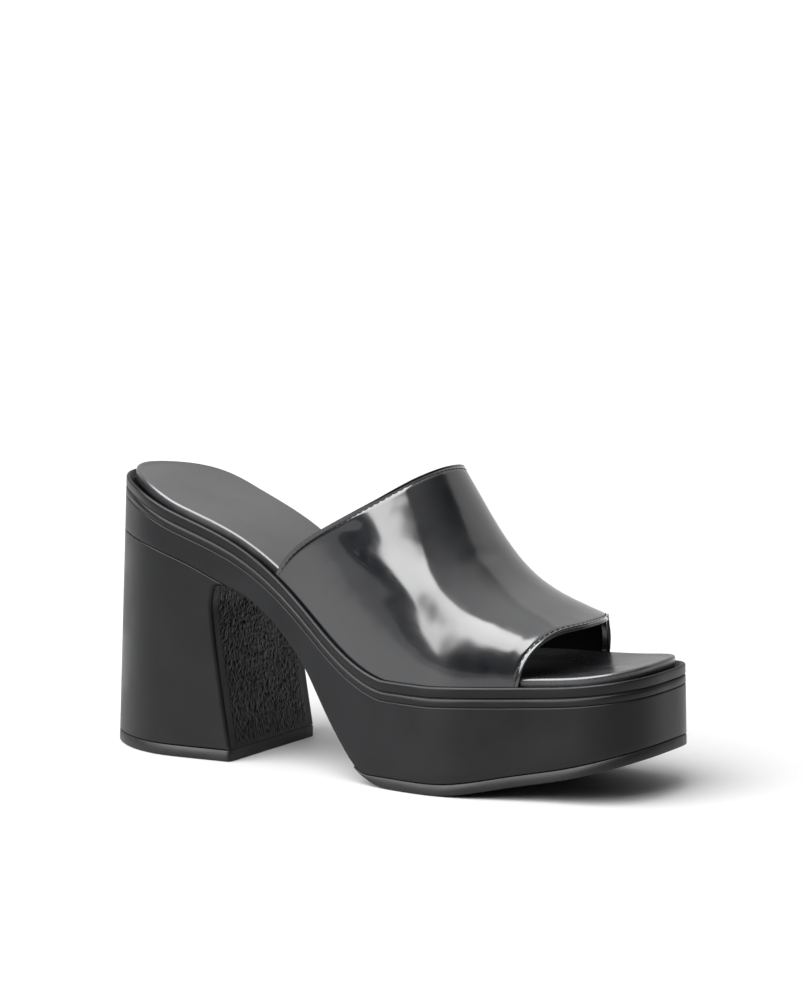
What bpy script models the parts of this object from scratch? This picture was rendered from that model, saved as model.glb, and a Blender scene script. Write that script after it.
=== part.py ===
"""Platform sandal: one backless slide with a wide vamp band, a thick sole unit and a block heel.

A right shoe, in metres: +X runs to the toe, -Y to the outer side of the foot, +Z up from the floor.
Places along the shoe start at the back of the rim, and the finished pieces are moved together
so that the origin is the middle of the part's footprint, on the floor.
"""

from collections import namedtuple

import bmesh
import bpy
import numpy as np

# Driving sizes of the sole unit
LENGTH = 0.238  # rim, from the back of the heel to the toe
BALL_WIDTH = 0.082  # rim, across the ball of the foot
SEAT_HEIGHT = 0.109  # rim above the floor at the back of the heel
PLATFORM_HEIGHT = 0.0415  # rim above the floor at the ball
TOE_SPRING = 0.0169  # lift of the tread at the toe
SHANK_DEPTH = 0.018  # rim down to the arch's underside at the waist
HEEL_ROUND = 0.0380  # length of the rounded back
TOE_ROUND = 0.050  # length of the rounded front
HEEL_LENGTH = 0.0635  # back of the rim to the foot of the breast
HEEL_LEAN = 0.0034  # how far the back of the heel runs out towards the floor
HEEL_TIP = 0.0045  # thickness of the top piece
OUTSOLE = 0.0042  # thickness of the tread sheet
TREAD_START = 0.1270  # where the tread sheet begins, behind the ball
TREAD_CURVE = 0.0205  # length of the tread's back end, which curves up into the arch
TREAD_LIP = 0.0008  # thickness of that end
BREAST_EDGE = 0.0015  # radius of the heel's two front edges

# Rim and side wall of the sole unit
SHOULDER = 0.0012  # side wall outside the rim's inner edge
SHOULDER_DROP = 0.0036  # height of the rounded shoulder
WALL_FLARE = 0.0012  # how much wider the wall is at its foot
SEAT_RECESS = 0.002  # footbed's ledge below the rim
GROOVE_DROPS = (0.0042, 0.0076)  # depths of the two grooves below the rim
GROOVE_DEPTH = 0.0005
GROOVE_WIDTH = 0.001
FOOT_CHAMFER = 0.0006  # softened edge where a piece meets the floor

# Insole and vamp band
INSOLE_RISE = 0.0029  # insole's edge above the rim
INSOLE_EDGE = 0.0009  # radius of the wrapped edge
INSOLE_DISH = 0.0012  # hollow along the middle of the footbed
BAND_WALL = 0.0018  # leather, padding and lining together
BAND_HEIGHT = 0.0795  # ridge of the band at the throat, above the rim at the ball
OPENING_HEIGHT = 0.0225  # ridge of the band at the toe opening, above the rim at the ball
THROAT_BASE = 0.081  # throat edge at the rim
THROAT_TOP = 0.146  # throat edge at the ridge
OPENING_BASE = 0.1955  # toe opening's edge at the rim
OPENING_TOP = 0.2090  # toe opening's edge at the ridge
CLEARANCE = 0.0003  # between two pieces that meet

# How finely each form is divided
SIDE_STEPS = 44
HEEL_SIDE_STEPS = 22
TREAD_SIDE_STEPS = 28
SHOULDER_STEPS = 4
CORNER_STEPS = 3
DISH_SHARES = (0.3, 0.65)  # of the way from the insole's edge to its middle
WALL_STEPS = 3
BAND_LENGTH_STEPS = 22
BAND_ROUND_STEPS = 44
SAME_POINT = 1e-6
NUDGE = 1e-5  # step by which a slope is read
SHARP_ANGLE = 35  # degrees

# Linear colours
Surface = namedtuple("Surface", "colour roughness")
SOLE_SURFACE = Surface((0.022, 0.022, 0.023), 0.5)
TREAD_SURFACE = Surface((0.012, 0.012, 0.012), 0.6)
INSOLE_SURFACE = Surface((0.03, 0.03, 0.031), 0.42)
BAND_SURFACE = Surface((0.02, 0.02, 0.021), 0.28)

HEEL_SQUARENESS = 1.96  # 2 is an ellipse
TOE_SQUARENESS = 2.75
TREAD_BEND = 2.6  # how early the tread's back end leaves the floor

# Outline of the rim: places as shares of LENGTH, widths and middle line as shares of BALL_WIDTH
Outline = namedtuple("Outline", "along half middle")
OUTLINE = (
    Outline(0.00, 0.337, -0.007),
    Outline(0.10, 0.388, 0.010),
    Outline(0.22, 0.366, 0.002),
    Outline(0.35, 0.340, -0.009),
    Outline(0.48, 0.388, -0.033),
    Outline(0.60, 0.462, -0.025),
    Outline(0.72, 0.501, 0.009),
    Outline(0.84, 0.440, 0.051),
    Outline(1.00, 0.466, 0.052),
)

# Rim seen from the side: heel is the share of SEAT_HEIGHT over PLATFORM_HEIGHT, toe that of TOE_SPRING
Rim = namedtuple("Rim", "along heel toe")
RIM = (
    Rim(0.00, 1.000, 0.00),
    Rim(0.06, 0.960, 0.00),
    Rim(0.15, 0.848, 0.00),
    Rim(0.28, 0.665, 0.00),
    Rim(0.42, 0.329, 0.00),
    Rim(0.50, 0.123, 0.00),
    Rim(0.58, 0.004, 0.00),
    Rim(0.68, 0.000, 0.00),
    Rim(0.80, 0.000, 0.08),
    Rim(0.90, 0.000, 0.18),
    Rim(1.00, 0.000, 0.38),
)

# Underside of the unit: depth below the rim as a share of SHANK_DEPTH, and how much of the way
# down from there to the tread sheet it has come
Under = namedtuple("Under", "along depth reach")
UNDER = (
    Under(0.000, 1.22, 0.000),
    Under(0.060, 1.14, 0.000),
    Under(0.120, 1.03, 0.000),
    Under(0.190, 0.99, 0.000),
    Under(0.255, 1.03, 0.000),
    Under(0.300, 0.98, 0.000),
    Under(0.353, 1.00, 0.005),
    Under(0.390, 1.00, 0.034),
    Under(0.422, 1.00, 0.095),
    Under(0.473, 1.00, 0.377),
    Under(0.515, 1.00, 0.715),
    Under(0.536, 1.00, 0.905),
    Under(0.552, 1.00, 0.985),
    Under(0.572, 1.00, 1.000),
    Under(0.700, 1.00, 1.000),
    Under(1.000, 1.00, 1.000),
)

# Tread: its lift off the floor as a share of TOE_SPRING
Tread = namedtuple("Tread", "along lift")
TREAD = (
    Tread(0.50, 0.00),
    Tread(0.60, 0.00),
    Tread(0.66, 0.00),
    Tread(0.70, 0.02),
    Tread(0.80, 0.27),
    Tread(0.90, 0.56),
    Tread(1.00, 1.00),
)

# Breast of the heel: height as a share of the way up to the seat seam, run as a share of HEEL_LENGTH
Breast = namedtuple("Breast", "up run")
BREAST = (
    Breast(0.00, 1.000),
    Breast(0.20, 0.966),
    Breast(0.40, 0.932),
    Breast(0.60, 0.900),
    Breast(0.76, 0.878),
    Breast(0.86, 0.872),
    Breast(0.93, 0.884),
    Breast(0.975, 0.912),
    Breast(1.00, 0.968),
)

# Vamp band: ridge is the share of BAND_HEIGHT over OPENING_HEIGHT, square the section's squareness
Band = namedtuple("Band", "along ridge square")
BAND = (
    Band(0.320, 3.00, 2.2),
    Band(0.400, 2.46, 2.2),
    Band(0.490, 1.86, 2.2),
    Band(0.550, 1.45, 2.2),
    Band(0.613, 1.00, 2.2),
    Band(0.655, 0.673, 2.25),
    Band(0.700, 0.391, 2.35),
    Band(0.745, 0.217, 2.5),
    Band(0.795, 0.109, 2.8),
    Band(0.845, 0.031, 3.2),
    Band(0.890, -0.01, 3.5),
    Band(0.930, -0.03, 3.6),
)

# The band's two cut edges, from its outer base over the ridge to its inner base: shares of the
# way from each edge's base to its top
Edge = namedtuple("Edge", "around throat opening")
EDGES = (
    Edge(0.0, 0.000, 0.00),
    Edge(0.1, 0.120, 0.04),
    Edge(0.2, 0.420, 0.15),
    Edge(0.3, 0.750, 0.40),
    Edge(0.4, 0.945, 0.70),
    Edge(0.5, 1.000, 1.00),
    Edge(0.6, 0.945, 0.62),
    Edge(0.7, 0.750, 0.22),
    Edge(0.8, 0.420, 0.10),
    Edge(0.9, 0.120, 0.03),
    Edge(1.0, 0.000, 0.00),
)


def curve_through(rows, key, column):
    """A smooth curve (natural cubic) through one column of a table, read by the key column."""
    x = np.array([getattr(row, key) for row in rows])
    y = np.array([getattr(row, column) for row in rows])
    count = len(x)
    step = np.diff(x)
    slope = np.diff(y) / step
    system = np.eye(count)
    right = np.zeros(count)
    for i in range(1, count - 1):
        system[i, i - 1 : i + 2] = step[i - 1], 2 * (step[i - 1] + step[i]), step[i]
        right[i] = 6 * (slope[i] - slope[i - 1])
    bend = np.linalg.solve(system, right)

    def read(at):
        at = np.asarray(at, float)
        i = np.clip(np.searchsorted(x, at) - 1, 0, count - 2)
        before = at - x[i]
        after = x[i + 1] - at
        held = (bend[i] * after**3 + bend[i + 1] * before**3) / (6 * step[i])
        start = (y[i] / step[i] - bend[i] * step[i] / 6) * after
        end = (y[i + 1] / step[i] - bend[i + 1] * step[i] / 6) * before
        return held + start + end

    return read


half_share = curve_through(OUTLINE, "along", "half")
middle_share = curve_through(OUTLINE, "along", "middle")
rim_heel = curve_through(RIM, "along", "heel")
rim_toe = curve_through(RIM, "along", "toe")
under_depth = curve_through(UNDER, "along", "depth")
under_reach = curve_through(UNDER, "along", "reach")
tread_lift = curve_through(TREAD, "along", "lift")
breast_run = curve_through(BREAST, "up", "run")
band_ridge = curve_through(BAND, "along", "ridge")
band_square = curve_through(BAND, "along", "square")
edge_throat = curve_through(EDGES, "around", "throat")
edge_opening = curve_through(EDGES, "around", "opening")


def end_factor(into_round, squareness):
    """Share of the width that is left, 0 to 1 of the way into a rounded end."""
    return (1 - np.clip(into_round, 0, 1) ** squareness) ** (1 / squareness)


def rim_sides(x):
    """The rim's outer (-Y) and inner (+Y) edges at places x along the shoe."""
    share = x / LENGTH
    half = half_share(share) * BALL_WIDTH
    half = half * end_factor((HEEL_ROUND - x) / HEEL_ROUND, HEEL_SQUARENESS)
    half = half * end_factor((x - LENGTH + TOE_ROUND) / TOE_ROUND, TOE_SQUARENESS)
    middle = middle_share(share) * BALL_WIDTH
    return middle - half, middle + half


def rim_height(x):
    share = x / LENGTH
    heel = np.clip(rim_heel(share), 0, None) * (SEAT_HEIGHT - PLATFORM_HEIGHT)
    return PLATFORM_HEIGHT + heel + np.clip(rim_toe(share), 0, None) * TOE_SPRING


def tread_spring(x):
    """Lift of the tread above the floor towards the toe."""
    return np.clip(tread_lift(x / LENGTH), 0, None) * TOE_SPRING


def tread_bottom(x):
    """Lower face of the tread sheet, with its back end curving up into the arch."""
    rise = underside(TREAD_START) - CLEARANCE - TREAD_LIP
    left = np.clip(1 - (x - TREAD_START) / TREAD_CURVE, 0, 1)
    return tread_spring(x) + rise * left**TREAD_BEND


def underside(x):
    """Lower face of the sole unit: seat seam, arch, then the top of the tread sheet."""
    held = rim_height(x) - SHANK_DEPTH * under_depth(x / LENGTH)
    floor = tread_spring(x) + OUTSOLE + CLEARANCE
    return held + np.clip(under_reach(x / LENGTH), 0, 1) * (floor - held)


def stations(start, end, steps, round_start, round_end):
    """Places along the shoe from start to end, closer together towards a round end."""
    share = np.linspace(0, 1, steps + 1)
    if round_start and round_end:
        share = (1 - np.cos(np.pi * share)) / 2
    elif round_start:
        share = 1 - np.cos(np.pi / 2 * share)
    elif round_end:
        share = np.sin(np.pi / 2 * share)
    return start + share * (end - start)


def plan(x, outset):
    """The outline at places x, moved square to itself by outset: near side out, far side back."""
    near, far = rim_sides(x)
    points = np.column_stack([np.concatenate([x, x[::-1]]), np.concatenate([near, far[::-1]])])
    ahead = np.clip(x + NUDGE, 0, LENGTH)
    behind = np.clip(x - NUDGE, 0, LENGTH)
    near_run = rim_sides(ahead)[0] - rim_sides(behind)[0]
    far_run = rim_sides(ahead)[1] - rim_sides(behind)[1]
    along = ahead - behind
    normal_near = np.column_stack([near_run, -along])
    normal_far = np.column_stack([-far_run, along])
    for normal in (normal_near, normal_far):
        if x[0] <= 0:
            normal[0] = (-1, 0)
        if x[-1] >= LENGTH:
            normal[-1] = (1, 0)
    normal = np.concatenate([normal_near, normal_far[::-1]])
    normal /= np.linalg.norm(normal, axis=1)[:, None]
    return points + normal * both_ways(np.broadcast_to(outset, x.shape))[:, None]


def both_ways(values):
    """One value for each station, repeated for the way out and the way back."""
    return np.concatenate([values, values[::-1]])


def ring(x, outset, height):
    """A closed ring of points: the outline moved by outset, at the height given for each station."""
    flat = plan(x, outset)
    z = both_ways(height)
    down = np.clip(1 - z / SEAT_HEIGHT, 0, 1)
    back = np.clip(1 - both_ways(x) / HEEL_LENGTH, 0, 1)
    return np.column_stack([flat[:, 0] - HEEL_LEAN * down * back, flat[:, 1], z])


def skin(name, rings, surface):
    """A closed solid through rings of equal count, its two ends closed by strips across the shoe."""
    form = bmesh.new()
    first = [form.verts.new(point) for point in rings[0]]
    edges = [form.edges.new(pair) for pair in zip(first, first[1:] + first[:1])]
    last = first
    for points in rings[1:]:
        made = bmesh.ops.extrude_edge_only(form, edges=edges)["geom"]
        edges = [item for item in made if isinstance(item, bmesh.types.BMEdge)]
        fresh = {item for item in made if isinstance(item, bmesh.types.BMVert)}
        following = []
        for vertex in last:
            ends = (edge.other_vert(vertex) for edge in vertex.link_edges)
            following.append(next(end for end in ends if end in fresh))
        for vertex, point in zip(following, points):
            vertex.co = point
        last = following
    half = len(first) // 2
    for loop in (first, last):
        for i in range(half - 1):
            form.faces.new((loop[i], loop[i + 1], loop[-2 - i], loop[-1 - i]))
    return finish(name, form, surface)


def finish(name, form, surface):
    """Joins doubled points, turns the faces outwards and makes the named object."""
    bmesh.ops.remove_doubles(form, verts=form.verts, dist=SAME_POINT)
    bmesh.ops.dissolve_degenerate(form, edges=form.edges, dist=SAME_POINT)
    bmesh.ops.triangulate(form, faces=form.faces)
    bmesh.ops.recalc_face_normals(form, faces=form.faces)
    mesh = bpy.data.meshes.new(name)
    form.to_mesh(mesh)
    form.free()
    mesh.shade_smooth()
    mesh.set_sharp_from_angle(angle=np.radians(SHARP_ANGLE))
    material = bpy.data.materials.new(name)
    material.use_nodes = True
    shader = material.node_tree.nodes["Principled BSDF"]
    shader.inputs["Base Color"].default_value = (*surface.colour, 1)
    shader.inputs["Roughness"].default_value = surface.roughness
    shader.inputs["Metallic"].default_value = 0
    mesh.materials.append(material)
    piece = bpy.data.objects.new(name, mesh)
    bpy.context.scene.collection.objects.link(piece)
    return piece


def wall_outset(x, height):
    """How far the side wall stands outside the rim at a height: more and more towards the floor."""
    return SHOULDER + WALL_FLARE * np.clip(1 - height / rim_height(x), 0, 1)


def make_platform():
    """Sole unit from seat to toe: ledge, rim, rounded shoulder, grooved band, wall and underside."""
    x = stations(0, LENGTH, SIDE_STEPS, True, True)
    rim = rim_height(x)
    under = underside(x)
    rings = [ring(x, -CLEARANCE, rim - SEAT_RECESS), ring(x, -CLEARANCE, rim - CLEARANCE)]
    for i in range(SHOULDER_STEPS + 1):
        angle = np.pi / 2 * i / SHOULDER_STEPS
        out = SHOULDER * np.sin(angle)
        rings.append(ring(x, out, rim - SHOULDER_DROP * (1 - np.cos(angle))))
    for drop in GROOVE_DROPS:
        for lower, deeper in ((-GROOVE_WIDTH / 2, 0), (0, GROOVE_DEPTH), (GROOVE_WIDTH / 2, 0)):
            height = rim - drop - lower
            rings.append(ring(x, wall_outset(x, height) - deeper, height))
    band_foot = rim - GROOVE_DROPS[-1] - GROOVE_WIDTH
    for i in range(WALL_STEPS):
        height = band_foot + (under + FOOT_CHAMFER - band_foot) * (i + 1) / WALL_STEPS
        rings.append(ring(x, wall_outset(x, height), height))
    rings.append(ring(x, wall_outset(x, under) - FOOT_CHAMFER, under))
    return skin("platform", rings, SOLE_SURFACE)


def heel_ring(front, inset, height_at):
    """Outline of the heel from its rounded back to a flat front with two rounded edges."""
    turn = np.pi / 2 * np.linspace(0, 1, CORNER_STEPS + 1)
    side = stations(0, front - BREAST_EDGE, HEEL_SIDE_STEPS, True, False)
    x = np.concatenate([side, front - BREAST_EDGE * (1 - np.sin(turn[1:]))])
    pull = np.concatenate([np.zeros(len(side)), BREAST_EDGE * (1 - np.cos(turn[1:]))])
    height = height_at(x)
    points = ring(x, wall_outset(x, height) - inset, height)
    points[: len(x), 1] += pull
    points[len(x) :, 1] -= pull[::-1]
    return points


def make_heel_block():
    """Block under the seat seam, with a breast that leans back and curves forward into the arch."""
    foot = HEEL_TIP + CLEARANCE
    rings = []
    for row in BREAST:
        share = row.up
        front = row.run * HEEL_LENGTH

        def height(x, share=share):
            return foot + share * (underside(x) - CLEARANCE - foot)

        rings.append(heel_ring(front, 0, height))
    return skin("heel_block", rings, SOLE_SURFACE)


def make_heel_tip():
    """Top piece of the heel, flat on the floor."""
    levels = ((0, FOOT_CHAMFER), (FOOT_CHAMFER, 0), (HEEL_TIP, 0))
    rings = []
    for z, inset in levels:
        rings.append(heel_ring(HEEL_LENGTH, inset, lambda x, z=z: np.full(len(x), z)))
    return skin("heel_tip", rings, TREAD_SURFACE)


def make_outsole():
    """Tread sheet under the forefoot, tapering at its back edge and rising with the toe spring."""
    x = stations(TREAD_START, LENGTH, TREAD_SIDE_STEPS, False, True)
    top = underside(x) - CLEARANCE
    bottom = tread_bottom(x)
    edge = np.minimum(FOOT_CHAMFER, (top - bottom) / 2)
    rings = [
        ring(x, wall_outset(x, bottom) - FOOT_CHAMFER, bottom),
        ring(x, wall_outset(x, bottom + edge), bottom + edge),
        ring(x, wall_outset(x, top), top),
    ]
    return skin("outsole", rings, TREAD_SURFACE)


def make_insole():
    """Leather-covered footbed: upright side, wrapped edge and a slightly hollow top."""
    x = stations(0, LENGTH, SIDE_STEPS, True, True)
    rim = rim_height(x)
    top = rim + INSOLE_RISE
    side = -(2 * CLEARANCE + BAND_WALL + CLEARANCE)
    rings = [ring(x, side, rim - SEAT_RECESS + CLEARANCE), ring(x, side, top - INSOLE_EDGE)]
    for i in range(1, CORNER_STEPS + 1):
        angle = np.pi / 2 * i / CORNER_STEPS
        inset = side - INSOLE_EDGE * (1 - np.cos(angle))
        rings.append(ring(x, inset, top - INSOLE_EDGE * (1 - np.sin(angle))))
    edge = rings[-1]
    middle = both_ways((edge[: len(x), 1] + edge[: len(x) - 1 : -1, 1]) / 2)
    width = np.clip(np.abs(edge[:, 1] - middle) / (BALL_WIDTH / 2), 0, 1)
    for share in DISH_SHARES:
        inner = edge.copy()
        inner[:, 1] += (middle - edge[:, 1]) * share
        inner[:, 2] -= INSOLE_DISH * (1 - (1 - share) ** 2) * width
        rings.append(inner)
    return skin("insole", rings, INSOLE_SURFACE)


def band_point(x, theta):
    """Outer face of the band over station x, theta from 0 at the outer base to pi at the inner."""
    near, far = rim_sides(x)
    seat = 2 * CLEARANCE
    middle = (near + far) / 2
    half = (far - near) / 2 - seat
    base = rim_height(x) - SEAT_RECESS + CLEARANCE
    ridge = PLATFORM_HEIGHT + OPENING_HEIGHT
    ridge = ridge + band_ridge(x / LENGTH) * (BAND_HEIGHT - OPENING_HEIGHT)
    power = 2 / band_square(x / LENGTH)
    across = -np.sign(np.cos(theta)) * np.abs(np.cos(theta)) ** power
    up = np.clip(np.sin(theta), 0, 1) ** power
    return np.stack([x, middle + half * across, base + (ridge - base) * up], axis=-1)


def make_upper():
    """Vamp band: one wall, open at the throat, at the toe and underneath."""
    around = np.linspace(0, 1, BAND_ROUND_STEPS + 1)
    theta = np.pi * (1 - np.cos(np.pi * around)) / 2
    throat = THROAT_BASE + (THROAT_TOP - THROAT_BASE) * edge_throat(around)
    opening = OPENING_BASE + (OPENING_TOP - OPENING_BASE) * edge_opening(around)
    share = np.linspace(0, 1, BAND_LENGTH_STEPS + 1)[:, None]
    x = throat + share * (opening - throat)
    theta = np.broadcast_to(theta, x.shape)
    outer = band_point(x, theta)
    run = band_point(x + NUDGE, theta) - band_point(x - NUDGE, theta)
    ahead = band_point(x, np.clip(theta + NUDGE, 0, np.pi))
    behind = band_point(x, np.clip(theta - NUDGE, 0, np.pi))
    outward = np.cross(run, ahead - behind)
    outward /= np.linalg.norm(outward, axis=-1)[..., None]
    inner = outer - BAND_WALL * outward
    for column in (0, -1):
        inner[:, column, 2] = outer[:, column, 2]
    form = bmesh.new()
    rows, columns = x.shape
    outside = [[form.verts.new(p) for p in line] for line in outer]
    inside = [[form.verts.new(p) for p in line] for line in inner]
    for i in range(rows - 1):
        for j in range(columns - 1):
            for face in (outside, inside):
                form.faces.new((face[i][j], face[i + 1][j], face[i + 1][j + 1], face[i][j + 1]))
    cut_out = boundary(outside)
    cut_in = boundary(inside)
    for k in range(len(cut_out)):
        form.faces.new((cut_out[k - 1], cut_out[k], cut_in[k], cut_in[k - 1]))
    return finish("upper", form, BAND_SURFACE)


def boundary(grid):
    """Vertices round the edge of a grid, in order."""
    ends = [row[-1] for row in grid[1:-1]]
    starts = [row[0] for row in grid[1:-1]]
    return grid[0] + ends + grid[-1][::-1] + starts[::-1]


def centre_on_floor(pieces):
    """Moves every piece together, so that the footprint's middle is at the origin."""
    points = np.array([vertex.co for piece in pieces for vertex in piece.data.vertices])
    middle = (points.min(axis=0) + points.max(axis=0)) / 2
    for piece in pieces:
        piece.location = (-middle[0], -middle[1], 0)


def clear_scene():
    for item in list(bpy.data.objects):
        bpy.data.objects.remove(item, do_unlink=True)


clear_scene()
centre_on_floor(
    [
        make_platform(),
        make_heel_block(),
        make_heel_tip(),
        make_outsole(),
        make_insole(),
        make_upper(),
    ]
)
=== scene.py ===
"""Looks of the platform sandal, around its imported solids.

In metres. +X runs to the toe, -Y to the outer side of the foot, +Z up from the floor. Places along
the shoe start at the back of the rim, and the finished meshes are moved together onto the solids.
"""

from collections import namedtuple

import bmesh
import bpy
import numpy as np
from mathutils import Matrix, Vector, noise


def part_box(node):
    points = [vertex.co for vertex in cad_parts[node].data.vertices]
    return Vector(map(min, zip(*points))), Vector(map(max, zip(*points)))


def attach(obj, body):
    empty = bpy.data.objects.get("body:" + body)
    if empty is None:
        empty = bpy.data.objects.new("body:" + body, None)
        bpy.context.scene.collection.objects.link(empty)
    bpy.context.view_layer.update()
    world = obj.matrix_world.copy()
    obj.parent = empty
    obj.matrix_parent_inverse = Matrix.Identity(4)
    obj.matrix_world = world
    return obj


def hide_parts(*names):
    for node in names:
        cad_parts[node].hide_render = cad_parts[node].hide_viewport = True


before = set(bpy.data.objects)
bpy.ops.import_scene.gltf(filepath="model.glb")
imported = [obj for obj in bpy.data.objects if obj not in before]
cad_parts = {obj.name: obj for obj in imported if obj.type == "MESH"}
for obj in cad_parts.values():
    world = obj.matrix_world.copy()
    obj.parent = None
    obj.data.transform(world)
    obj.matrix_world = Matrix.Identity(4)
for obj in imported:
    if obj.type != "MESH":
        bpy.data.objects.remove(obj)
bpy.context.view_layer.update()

# Driving sizes of the sole unit, as in the solids
LENGTH = 0.238  # rim, from the back of the heel to the toe
BALL_WIDTH = 0.082  # rim, across the ball of the foot
SEAT_HEIGHT = 0.109  # rim above the floor at the back of the heel
PLATFORM_HEIGHT = 0.0415  # rim above the floor at the ball
TOE_SPRING = 0.0169
SHANK_DEPTH = 0.018
HEEL_ROUND = 0.0380
TOE_ROUND = 0.050
HEEL_LENGTH = 0.0635
HEEL_LEAN = 0.0034
HEEL_TIP = 0.0045
OUTSOLE = 0.0042
TREAD_START = 0.1270
TREAD_CURVE = 0.0205
TREAD_LIP = 0.0008
TREAD_BEND = 2.6
BREAST_EDGE = 0.0015
HEEL_SQUARENESS = 1.96
TOE_SQUARENESS = 2.75

# Rim and side wall
SHOULDER = 0.0012
RIM_CORNER = 0.0008  # rounded edge at the top of the rim
WALL_FLARE = 0.0012
SEAT_RECESS = 0.002
CLEARANCE = 0.0003
SEAM_ROUND = 0.0003  # softened edge at a seam
FOOT_ROUND = 0.0006  # softened edge at the floor
Groove = namedtuple("Groove", "drop half_width depth")
GROOVES = (Groove(0.0042, 0.00055, 0.0007), Groove(0.0076, 0.00032, 0.0005))

# Insole and vamp band
INSOLE_RISE = 0.0029
INSOLE_EDGE = 0.0011  # radius of the wrapped edge
INSOLE_DISH = 0.0012
BAND_WALL = 0.0018
BAND_HEIGHT = 0.0795
OPENING_HEIGHT = 0.0225
THROAT_BASE = 0.081
THROAT_TOP = 0.146
OPENING_BASE = 0.1955
OPENING_TOP = 0.2090

# Sewn edges of the band
BEAD_RISE = 0.00022  # how far the folded edge stands proud
STITCH_LINE = 0.0024  # from the edge
CHANNEL_DEPTH = 0.00028
CHANNEL_WIDTH = 0.0005
STITCH_PITCH = 0.0027
STITCH_LENGTH = 0.0020
THREAD_RADIUS = 0.00021
LINING_START = 0.0034  # lining's edge, from the band's edge
LINING_THICKNESS = 0.0005

# Gentle unevenness of the pulled leather: height, and waves to the metre along and across the shoe
Swell = namedtuple("Swell", "height along across offset")
SWELLS = (Swell(0.00016, 52, 44, 0), Swell(0.00003, 210, 170, 9))

# Bark-like relief of the heel breast
RELIEF_DEPTH = 0.00036
RELIEF_MARGIN = 0.0048  # smooth strip beside it
RELIEF_FADE = 0.0010
RELIEF_FADE_ROWS = 6  # rows over which it fades at the top and the bottom
BARK_WANDER = 0.0014  # how far its ridges stray sideways
BARK_LEAN = 0.25
Wrinkles = namedtuple("Wrinkles", "across up offset")  # to the metre
BARK_STRAY = Wrinkles(260, 200, 3.1)
BARK_RIDGES = Wrinkles(860, 430, 0)
BARK_CROSSING = Wrinkles(700, 620, 5.3)
BARK_FINE = Wrinkles(1500, 1100, 7.7)

# How finely each form is divided
SOLE_STATIONS = 130
HEEL_STATIONS = 44
HEEL_TURNS = 6  # steps round each edge of the breast
BREAST_COLUMNS = 190
BREAST_ROWS = 210
CAP_ROWS = 2  # softened rows at each end of the heel
HEEL_TIP_COLUMNS = 12
BAND_ROWS = 90
BAND_COLUMNS = 180
LINING_ROWS = 40
EDGE_STEPS_MM = (0, 0.15, 0.3, 0.5, 0.7, 0.9, 1.1, 1.3, 1.5, 1.7, 1.95, 2.2, 2.5, 3, 3.6, 4.4, 5.4)
SAME_POINT = 1e-6
NUDGE = 1e-5

Outline = namedtuple("Outline", "along half middle")
OUTLINE = (
    Outline(0.00, 0.337, -0.007),
    Outline(0.10, 0.388, 0.010),
    Outline(0.22, 0.366, 0.002),
    Outline(0.35, 0.340, -0.009),
    Outline(0.48, 0.388, -0.033),
    Outline(0.60, 0.462, -0.025),
    Outline(0.72, 0.501, 0.009),
    Outline(0.84, 0.440, 0.051),
    Outline(1.00, 0.466, 0.052),
)

Rim = namedtuple("Rim", "along heel toe")
RIM = (
    Rim(0.00, 1.000, 0.00),
    Rim(0.06, 0.960, 0.00),
    Rim(0.15, 0.848, 0.00),
    Rim(0.28, 0.665, 0.00),
    Rim(0.42, 0.329, 0.00),
    Rim(0.50, 0.123, 0.00),
    Rim(0.58, 0.004, 0.00),
    Rim(0.68, 0.000, 0.00),
    Rim(0.80, 0.000, 0.08),
    Rim(0.90, 0.000, 0.18),
    Rim(1.00, 0.000, 0.38),
)

Under = namedtuple("Under", "along depth reach")
UNDER = (
    Under(0.000, 1.22, 0.000),
    Under(0.060, 1.14, 0.000),
    Under(0.120, 1.03, 0.000),
    Under(0.190, 0.99, 0.000),
    Under(0.255, 1.03, 0.000),
    Under(0.300, 0.98, 0.000),
    Under(0.353, 1.00, 0.005),
    Under(0.390, 1.00, 0.034),
    Under(0.422, 1.00, 0.095),
    Under(0.473, 1.00, 0.377),
    Under(0.515, 1.00, 0.715),
    Under(0.536, 1.00, 0.905),
    Under(0.552, 1.00, 0.985),
    Under(0.572, 1.00, 1.000),
    Under(0.700, 1.00, 1.000),
    Under(1.000, 1.00, 1.000),
)

Tread = namedtuple("Tread", "along lift")
TREAD = (
    Tread(0.50, 0.00),
    Tread(0.60, 0.00),
    Tread(0.66, 0.00),
    Tread(0.70, 0.02),
    Tread(0.80, 0.27),
    Tread(0.90, 0.56),
    Tread(1.00, 1.00),
)

Breast = namedtuple("Breast", "up run")
BREAST = (
    Breast(0.00, 1.000),
    Breast(0.20, 0.966),
    Breast(0.40, 0.932),
    Breast(0.60, 0.900),
    Breast(0.76, 0.878),
    Breast(0.86, 0.872),
    Breast(0.93, 0.884),
    Breast(0.975, 0.912),
    Breast(1.00, 0.968),
)

Band = namedtuple("Band", "along ridge square")
BAND = (
    Band(0.320, 3.00, 2.2),
    Band(0.400, 2.46, 2.2),
    Band(0.490, 1.86, 2.2),
    Band(0.550, 1.45, 2.2),
    Band(0.613, 1.00, 2.2),
    Band(0.655, 0.673, 2.25),
    Band(0.700, 0.391, 2.35),
    Band(0.745, 0.217, 2.5),
    Band(0.795, 0.109, 2.65),
    Band(0.845, 0.031, 2.8),
    Band(0.890, -0.01, 2.95),
    Band(0.930, -0.03, 3.0),
)

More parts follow.
